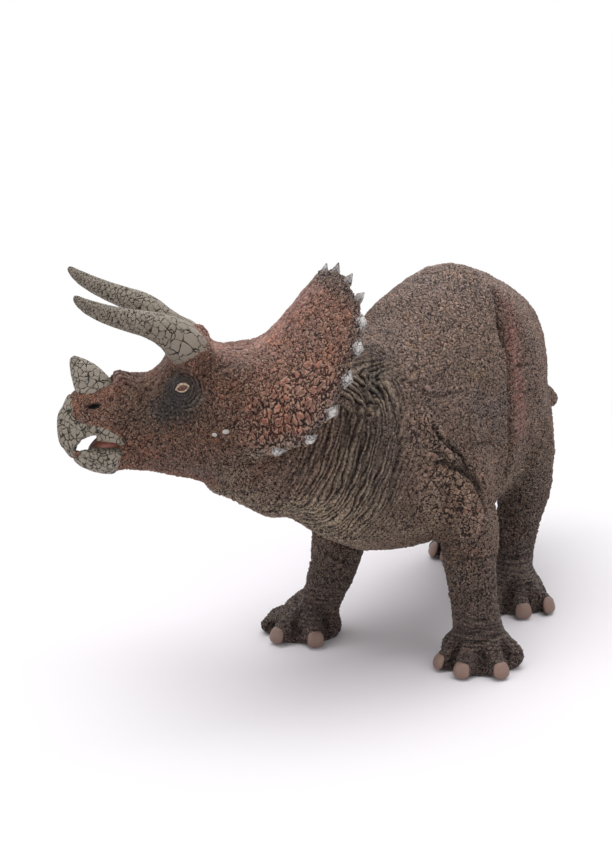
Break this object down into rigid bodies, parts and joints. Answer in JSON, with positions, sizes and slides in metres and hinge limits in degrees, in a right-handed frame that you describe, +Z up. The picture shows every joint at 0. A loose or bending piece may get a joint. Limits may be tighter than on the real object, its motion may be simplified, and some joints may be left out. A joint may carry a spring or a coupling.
{
  "type": "toy dinosaur figure",
  "caption": "Standing horned dinosaur figure with its head turned to one side, a studded neck frill, three horns, a beaked open mouth and thick clawed legs.",
  "frame": {"origin": "on the ground, below the middle of the figure's bounding box", "axes": "+Z up; the trunk lies along Y with the chest towards -Y and the tail towards +Y; +X is the animal's left side; the head is turned to the animal's right"},
  "size_m": [0.1136, 0.2022, 0.1205],
  "materials": {
    "skin": "satin hand-painted soft PVC, brown-grey",
    "head_skin": "satin hand-painted soft PVC, red-brown",
    "horn": "satin painted plastic, grey-green with dark cracks",
    "eye": "glossy, red-brown",
    "tongue": "satin, pink-brown"
  },
  "bodies": {
    "root": {"torso": "skin", "tail": "skin", "fore_leg_left": "skin", "fore_leg_right": "skin", "hind_leg_left": "skin", "hind_leg_right": "skin", "head": "head_skin", "upper_beak": "horn", "lower_beak": "horn", "nose_horn": "horn", "brow_horn_left": "horn", "brow_horn_right": "horn", "eye_left": "eye", "eye_right": "eye", "tongue": "tongue"}
  },
  "joints": []
}
